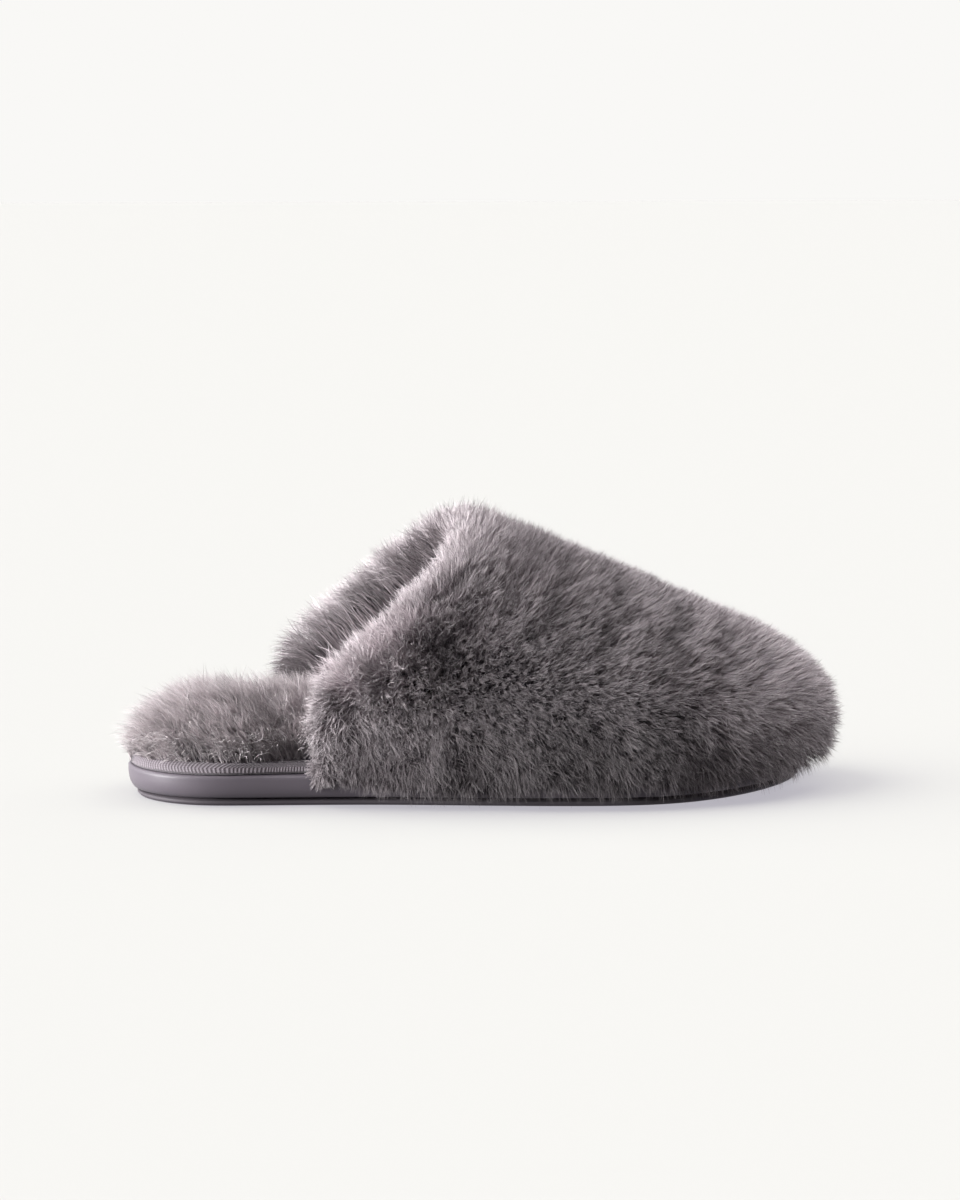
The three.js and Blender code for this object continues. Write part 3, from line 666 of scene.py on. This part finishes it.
def comb_at(roots):
    """Direction, lift, length, tangle and painted light at each root, blended from the guides near it."""
    table = np.array(VAMP_GUIDES)
    gap = np.linalg.norm(side_spot(roots)[:, None, :] - table[None, :, :2], axis=2)
    weight = np.exp(-0.5 * (gap / GUIDE_REACH) ** 2) + 1e-9
    weight /= weight.sum(1, keepdims=True)
    run, up, lift, length, tangle, light = (weight @ table[:, 2:]).T
    comb = np.stack([run, np.zeros(len(roots)), up], 1)
    calm = INNER_CALM * inner_side(roots)
    return comb, lift, length * MM, tangle * (1 - calm), light + calm * (1 - light)


print(len(VAMP_GUIDES), "guides")

# %% [markdown]
# The pile has rolled up when it lay in its box, which leaves soft troughs and ridges. Each is a line given
# in
# the side view: hairs whose tips come near a trough are shorter and get painted shade, and those near a
# ridge are longer and get painted light. The lines are made to wander and bow a little, and fade out over
# the ridge towards the inner side.

# %% Folds in the pile
FOLDS = [
    # x, z, x, z, width, depth
    (58, 90, 48, 58, 2.8, 0.42),
    (79, 80, 74, 58, 2.8, 0.48),
    (96, 68, 90, 42, 2.8, 0.42),
    (110, 59, 105, 44, 2.5, 0.3),
    (36, 94, 22, 64, 3.0, 0.35),
    (24, 99, 10, 74, 3.0, 0.25),
    (-12, 84, -6, 89, 3.0, 0.6),
    (2, 86, 3, 87, 2.5, 0.5),
    (-8, 76, -2, 80, 2.0, 0.5),
    (-15, 64, -13, 62, 3.0, 0.5),
    (-44, 58, -36, 44, 2.8, 0.5),
    (-58, 42, -50, 38, 2.5, 0.35),
    (-50, 38, -46, 26, 2.5, 0.4),
    (-66, 36, -64, 22, 2.0, 0.4),
    (-74, 45, -56, 51, 4.0, -0.15),
    (-56, 51, -41, 61, 4.0, -0.2),
    (-41, 61, -27, 78, 4.0, -0.2),
    (-27, 78, -27, 60, 2.0, -0.15),
    (-71, 40, -70, 18, 3.0, -0.3),
    (66, 84, 62, 66, 3.0, -0.15),
    (86, 72, 84, 56, 3.0, -0.15),
    (44, 92, 38, 70, 3.0, -0.15),
]
# Troughs and ridges of the heel's pile, with the same painted shade and painted light
HEEL_FOLDS = [
    (-85, 44, -80, 34, 2.2, 0.35),
    (-78, 34, -74, 24, 2.5, 0.35),
    (-95, 32, -86, 28, 2.2, 0.25),
    (-108, 27, -98, 22, 2.2, 0.25),
    (-92, 46, -90, 38, 2.5, 0.25),
    (-104, 44, -97, 34, 3.0, -0.2),
]
FOLD_WANDER = 1.6
LONG_WAVE, SHORT_WAVE, WAVE_SLANT = 3.1, 1.7, 9
FOLD_BOW = 2
BOW_MIDDLE, BOW_REACH = 45, 14
FOLD_FADE = 30 * MM
FADED_FROM = 5 * MM
FAINTEST = 0.2
HIGHEST_RIDGE, DEEPEST_TROUGH = -0.6, 0.9
FOLD_SHORTENS = 0.2
# Share of painted shade in a trough, and of painted light on a ridge
FOLD_PAINTED_SHADING = 0.55


def fold_at(tips, folds):
    """How deep in a trough (above 0) or on a ridge (below 0) each tip lies."""
    spot = side_spot(tips)
    spot[:, 0] += FOLD_BOW * np.sin((np.abs(tips[:, 1]) / MM - BOW_MIDDLE) / BOW_REACH)
    long_wave = np.sin(spot[:, 1] / LONG_WAVE)
    short_wave = np.sin(spot[:, 1] / SHORT_WAVE + spot[:, 0] / WAVE_SLANT)
    spot[:, 0] += FOLD_WANDER * (long_wave + short_wave)
    depth = np.zeros(len(tips))
    for x0, z0, x1, z1, width, amount in folds:
        start, run = np.array([x0, z0]), np.array([x1 - x0, z1 - z0])
        share = np.clip((spot - start) @ run / (run @ run), 0, 1)
        gap = np.linalg.norm(spot - start - share[:, None] * run, axis=1)
        depth += amount * np.exp(-0.5 * (gap / width) ** 2)
    fade = np.maximum(ramp(FADED_FROM - tips[:, 1], 0, FOLD_FADE), FAINTEST)
    return fade * np.clip(depth, HIGHEST_RIDGE, DEEPEST_TROUGH)


def folded(points, light, folds=FOLDS):
    """Hairs shortened and given painted shade in the troughs, and lengthened and given painted light on the
    ridges.
    """
    depth = fold_at(points[:, -1], folds)
    root = points[:, :1]
    shorter = (1 - FOLD_SHORTENS * depth)[:, None, None]
    return root + (points - root) * shorter, light * (1 - FOLD_PAINTED_SHADING * depth)


print(len(FOLDS), "folds on the vamp,", len(HEEL_FOLDS), "at the heel")

# %% [markdown]
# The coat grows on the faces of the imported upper. Its faces are told apart by the way they face, as seen
# from a line along the middle of the foot: outer cloth, lining, and the collar's edge between them. The
# edge that rests on the footbed faces down and stays bare.

# %% Faces of the vamp's cloth
FOOT_LINE = 25 * MM
TURNED_OUT = 0.2
TURNED_BACK = -0.4
NOT_BELOW = -0.2
TURNED_DOWN = -0.9
EDGE_ENDS = 25 * MM

shell = merged("upper")
corners, flat, keys = faces_of(shell)
shell.free()
centres = corners.mean(1)
middle = np.stack([centres[:, 0], np.zeros(len(centres)), np.full(len(centres), FOOT_LINE)], 1)
outward = np.sum(unit(centres - middle) * flat, axis=1)
edge = (flat[:, 0] < TURNED_BACK) & (flat[:, 2] > NOT_BELOW) & (centres[:, 0] < EDGE_ENDS)
underneath = flat[:, 2] < TURNED_DOWN
outer = (outward > TURNED_OUT) & ~edge & ~underneath
inner = (outward < -TURNED_OUT) & ~edge & ~underneath
edge_centres = centres[edge]
_, from_edge = nearest(centres, edge_centres)
outer_normals = soften(corners, flat, keys, outer | edge)
inner_normals = soften(corners, flat, keys, inner)
print("cloth faces: outer", outer.sum(), "edge", edge.sum(), "inner", inner.sum())

# %% [markdown]
# The coat itself is three pieces, the two sides and the toe, so that none of them is too big a mesh. The
# hairs are fine and have three triangles each. Where most light is painted, hairs also show more of their
# light tip colour, as more painted light.

# %% Vamp fur
VAMP_HAIR = 0.23 * MM
VAMP_BEND = 0.32
PAINTED_TIP_LIGHT_FROM = 0.85
PAINTED_TIP_LIGHT_SHARE = 0.6
TOE_START = 60 * MM


def rooted(chosen, normals, weight, count):
    """Roots on the chosen faces of the cloth, and the way out of the cloth at each."""
    pick, mix = scatter(corners[chosen], weight, count)
    lean = between(normals[chosen], pick, mix)
    return between(corners[chosen], pick, mix), lean / np.linalg.norm(lean, axis=1, keepdims=True)


def vamp_piece(name, chosen, count):
    roots, lean = rooted(chosen, outer_normals, 1.0, count)
    comb, lift, length, tangle, light = comb_at(roots)
    points, shade = grow(roots, lean, comb, lift, length, tangle, 2, bend=VAMP_BEND)
    points, light = folded(points, light)
    # More painted light: where the guides paint most light, hairs show more of their light tip colour
    pale = PAINTED_TIP_LIGHT_SHARE * np.clip(light - PAINTED_TIP_LIGHT_FROM, 0, 1)
    add_fur(name, points, lean, shade * light, pale, VAMP_HAIR, VAMP_COAT)


near = centres[:, 1] < 0
back = centres[:, 0] < TOE_START
vamp_piece("vamp_fur_outer_side", outer & near & back, 63000)
vamp_piece("vamp_fur_inner_side", outer & ~near & back, 50000)
vamp_piece("vamp_fur_toe", outer & ~back, 60000)

# %% [markdown]
# At the collar the pile is seen against the light, so its hairs are thicker, with one more bend. They grow
# on the cloth's edge and on a narrow band beside it, and stand up less near the sole. Where most light is
# painted they show more of their light tip colour, as painted light. On the inner side, which is seen across
# the opening, they are longer and lie back, with painted shade over each hair and more of the light tip
# colour as painted light.

# %% Collar fur
COLLAR_HAIR = 0.27 * MM
COLLAR_HAIRS = 24000
RIM_BAND = 5 * MM
EDGE_WEIGHT = 2.5
STANDS_FROM, STANDS_FULLY = 14, 34
FAR_COMB = np.array([-0.5, 0.0, -0.25])
FAR_LENGTH = 0.3
FAR_PAINTED_SHADE = 0.32
FAR_PAINTED_TIP_LIGHT = 0.45
COLLAR_PAINTED_TIP_LIGHT_FROM = 0.7
COLLAR_PAINTED_TIP_LIGHT_SHARE = 0.5
MOST_PAINTED_TIP_LIGHT = 0.75

rim = edge | (outer & (from_edge < RIM_BAND))
roots, lean = rooted(rim, outer_normals, np.where(edge[rim], EDGE_WEIGHT, 1.0), COLLAR_HAIRS)
comb, lift, length, tangle, light = comb_at(roots)
far = inner_side(roots)
comb = comb + far[:, None] * FAR_COMB
lift = lift * ramp(roots[:, 2] / MM, STANDS_FROM, STANDS_FULLY)
points, shade = grow(roots, lean, comb, lift, length * (1 + FAR_LENGTH * far), tangle, 3)
points, light = folded(points, light)
# Painted shade over the inner side's hairs, then painted light towards their tips
light = light * (1 - FAR_PAINTED_SHADE * far)
painted_tip_light = COLLAR_PAINTED_TIP_LIGHT_SHARE * np.clip(light - COLLAR_PAINTED_TIP_LIGHT_FROM, 0, 1) + FAR_PAINTED_TIP_LIGHT * far
pale = np.clip(painted_tip_light, 0, MOST_PAINTED_TIP_LIGHT)
collar_fur = add_fur("vamp_fur_collar", points, lean, shade * light, pale, COLLAR_HAIR, VAMP_COAT)

# %% [markdown]
# The fur's edge is turned in along the collar, so a band of pile lies on the lining too. It is combed
# towards the edge, longest beside it, and its ribbons turn every way, because both their sides are seen.
# Its hairs take much of the light tip colour and are lighter towards the far side: painted light.

# %% Facing fur
FACING_HAIRS = 14000
FACING_BAND = 20 * MM
FACING_LENGTH = 18
SHORTER_INSIDE = 8
FACING_LIFT = 0.7
FACING_TANGLE = 0.35
FACING_PAINTED_TIP_LIGHT = 0.6
FACING_SHADE = 0.95
FAR_PAINTED_LIGHT = 0.5

facing = inner & (from_edge < FACING_BAND)
roots, lean = rooted(facing, inner_normals, 1.0, FACING_HAIRS)
found, gap = nearest(roots, edge_centres)
comb = unit(edge_centres[found] - roots)
length = (FACING_LENGTH - SHORTER_INSIDE * gap / FACING_BAND) * MM
points, shade = grow(roots, lean, comb, FACING_LIFT, length, FACING_TANGLE, 3, hairs_a_lock=60)
# Painted light, stronger on the far side
light = shade * (FACING_SHADE + FAR_PAINTED_LIGHT * inner_side(roots))
facing_fur = add_fur("vamp_fur_facing", points, lean, light, FACING_PAINTED_TIP_LIGHT, COLLAR_HAIR, VAMP_COAT, ALL_ROUND)

# %% [markdown]
# The insole's pile grows up from the footbed, full and long at the heel, where it bulges over the rim and
# the back, and short, thin and combed forwards under the vamp. A narrow rim of twill stays bare.

# %% Roots of the insole fur
INSOLE_HAIRS = 46000
BARE_RIM = 3.9 * MM
LESS_AT_HEEL = 2 * MM
HEEL_FROM, HEEL_FULLY = 100, 125
HIDDEN_FROM = -10 * MM
HIDDEN_WEIGHT = 0.2
TOP_SIDE = 0.3
FLAT = np.array([1, 1, 0])

bed = merged("footbed")
bed_corners, bed_flat, _ = faces_of(bed)
bed.free()
rim_line = plan_outline(places_of(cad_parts["footbed"].data))[1]
rim_points = np.column_stack([rim_line, np.zeros(len(rim_line))])
top_corners = bed_corners[bed_flat[:, 2] > TOP_SIDE]
weight = np.where(top_corners.mean(1)[:, 0] < HIDDEN_FROM, 1.0, HIDDEN_WEIGHT)
pick, mix = scatter(top_corners, weight, INSOLE_HAIRS)
roots = between(top_corners, pick, mix)
found, inset = nearest(roots * FLAT, rim_points)
keep = inset > BARE_RIM - LESS_AT_HEEL * ramp(-roots[:, 0] / MM, HEEL_FROM, HEEL_FULLY)
roots, found, inset = roots[keep], found[keep], inset[keep]
print(len(roots), "roots inside the bare rim")

# %% [markdown]
# The pile's depth grows from the rim inwards. Beside the rim it is combed outwards, in the middle it stands
# up, and towards the heel it sweeps back.

# %% Insole fur
INSOLE_HAIR = 0.27 * MM
FULL_DEPTH = 20 * MM
SWEEP = 1.3
SWEPT_FROM, SWEPT_FULLY = 45, 75
HIDING_FROM, HIDDEN_FULLY = -40, 0
OUTWARD_LOSS = 0.8
FORWARDS = np.array([1.0, 0, 0])
RIM_LIFT, MORE_LIFT, LIFT_CURVE = 0.42, 0.62, 0.5
RIM_LENGTH, MORE_LENGTH, LENGTH_CURVE = 9.5, 19.5, 0.45
HIDDEN_LIFT, HIDDEN_LENGTH = 0.5, 9
INSIDE_TANGLE, RIM_TANGLE = 0.18, 0.35
INSIDE_PAINTED_TIP_LIGHT, RIM_PAINTED_TIP_LIGHT = 0.25, 0.7

lean = np.tile([0.0, 0.0, 1.0], (len(roots), 1))
out = unit((rim_points[found] - roots) * FLAT + 1e-7)
depth = ramp(inset - BARE_RIM, 0, FULL_DEPTH)
swept = SWEEP * ramp(-roots[:, 0] / MM, SWEPT_FROM, SWEPT_FULLY)
forward = ramp(roots[:, 0] / MM, HIDING_FROM, HIDDEN_FULLY)
comb = out * (1 - OUTWARD_LOSS * depth)[:, None] - swept[:, None] * FORWARDS
comb /= np.maximum(np.linalg.norm(comb, axis=1, keepdims=True), 1)
comb = comb * (1 - forward)[:, None] + FORWARDS * forward[:, None]
lift = (RIM_LIFT + MORE_LIFT * depth ** LIFT_CURVE) * (1 - forward) + HIDDEN_LIFT * forward
length = (RIM_LENGTH + MORE_LENGTH * depth ** LENGTH_CURVE) * (1 - forward) + HIDDEN_LENGTH * forward
tangle = INSIDE_TANGLE + RIM_TANGLE * (1 - depth)
points, shade = grow(roots, lean, comb, lift, length * MM, tangle, 3, hairs_a_lock=60)
# Painted shade in the heel's troughs, and painted light on its ridge
points, light = folded(points, np.ones(len(roots)), HEEL_FOLDS)
# Painted light: every hair starts partway to the light tip colour, most of all by the rim
pale = INSIDE_PAINTED_TIP_LIGHT + RIM_PAINTED_TIP_LIGHT * (1 - depth) ** 2
add_fur("insole_fur_pile", points, lean, shade * light, pale, INSOLE_HAIR, INSOLE_COAT)

# %% [markdown]
# The slipper stands on a pale sheet before a pale wall. Both glow by themselves, which keeps their tone
# even up to the horizon, and neither throws light back onto the fur.

# %% Floor and backdrop
REACH = 6.0
FLOOR_GLOW = 0.498


def flat_sheet(name, turn, place, finish):
    sheet = bmesh.new()
    bmesh.ops.create_grid(sheet, x_segments=1, y_segments=1, size=REACH)
    bmesh.ops.rotate(sheet, verts=sheet.verts, matrix=Matrix.Rotation(turn, 3, "X"))
    bmesh.ops.translate(sheet, verts=sheet.verts, vec=place)
    mesh = bpy.data.meshes.new(name)
    sheet.to_mesh(mesh)
    sheet.free()
    mesh.materials.append(finish)
    made = bpy.data.objects.new(name, mesh)
    bpy.context.scene.collection.objects.link(made)
    made.visible_diffuse = False
    return made


def paper(name, color, glow_color, glow):
    return Finish(name).set(
        Base_Color=color,
        Roughness=1.0,
        Specular_IOR_Level=0.0,
        Emission_Color=glow_color,
        Emission_Strength=glow,
    ).material


floor_paper = paper("pale_paper", (0.21, 0.213, 0.18, 1), (0.92, 0.89, 0.99, 1), FLOOR_GLOW)
wall_paper = paper("wall_paper", (0, 0, 0, 1), (0.947, 0.939, 0.921, 1), 1.0)
floor = flat_sheet("floor", 0.0, (0, 0, 0), floor_paper)
backdrop = flat_sheet("backdrop", math.pi / 2, (0, REACH, 0), wall_paper)
backdrop.visible_shadow = False
print("stage:", floor.name, backdrop.name)

# %% [markdown]
# A broad soft light comes from the left, one from overhead and a weak one from the right and behind; the
# side towards the camera has only the sky's even light. Two lamps touch the slipper alone and leave the
# floor as it is: a low one from the left, which rims the heel and the folds, and a small soft spot that
# reaches into the collar and brings out the frosted tips there.


# %% Lights
SUNS = [
    # name, towards the lamp, spread in degrees, strength
    ("left", (-0.8, 0.05, 0.6), 70, 1.6),
    ("low_left", (-0.96, -0.2, 0.08), 16, 1.9),
    ("overhead", (-0.15, 0.15, 0.98), 80, 0.9),
    ("right", (0.7, 0.3, 0.65), 60, 0.5),
]
SPOT_POWER = 23.0
SPOT_CONE = math.radians(15)
SPOT_SOFTNESS = 0.03
SPOT_PLACE = (-0.35, -0.22, 0.22)
SPOT_AIM = Vector((0.315, 0.26, -0.145))


def add_lamp(name, light, aim):
    lamp = bpy.data.objects.new(name, light)
    bpy.context.scene.collection.objects.link(lamp)
    lamp.rotation_mode = "QUATERNION"
    lamp.rotation_quaternion = aim.to_track_quat("-Z", "Y")
    return lamp


def soft_sun(name, towards, spread, strength):
    light = bpy.data.lights.new(name, "SUN")
    light.angle = math.radians(spread)
    light.energy = strength * math.pi
    return add_lamp(name, light, -Vector(towards))


def shine_only_on(lamp, lit):
    """Keep a lamp's light for some pieces, so that it leaves no patch or shadow on the floor."""
    group = bpy.data.collections.new(lamp.name + "_lit")
    for piece in lit:
        group.objects.link(piece)
    lamp.light_linking.receiver_collection = group


suns = {name: soft_sun(name, *setting) for name, *setting in SUNS}
slipper = [piece for piece in bpy.data.objects if piece.type == "MESH" and piece not in (floor, backdrop)]
shine_only_on(suns["low_left"], slipper)
narrow = bpy.data.lights.new("collar_light", "SPOT")
narrow.energy = SPOT_POWER
narrow.spot_size = SPOT_CONE
narrow.spot_blend = 1.0
narrow.shadow_soft_size = SPOT_SOFTNESS
collar_light = add_lamp("collar_light", narrow, SPOT_AIM)
collar_light.location = SPOT_PLACE
shine_only_on(collar_light, [facing_fur, collar_fur])
print("lamps:", sorted(suns), "and", collar_light.name)

# %% [markdown]
# The sky is a plain even glow, a little weaker from below, as in a room with a light ceiling.

# %% Sky
SKY_LOW, SKY_HIGH = -0.6, 0.2
WEAKEST, STRONGEST = 0.05, 0.15

world = bpy.data.worlds.new("sky")
world.use_nodes = True
sky = Graph(world.node_tree)
glow = world.node_tree.nodes["Background"]
ray = sky.node("ShaderNodeTexCoord", output=0)
ray_height = sky.node("ShaderNodeSeparateXYZ", {}, {0: ray}, output=2)
span = {1: SKY_LOW, 2: SKY_HIGH, 3: WEAKEST, 4: STRONGEST}
strength = sky.node("ShaderNodeMapRange", {}, {0: ray_height, **span})
sky.feed(glow.inputs["Color"], (1, 0.97, 0.995, 1))
sky.feed(glow.inputs["Strength"], strength)
bpy.context.scene.world = world
bpy.context.scene.view_settings.view_transform = "Standard"
print("sky:", world.name)
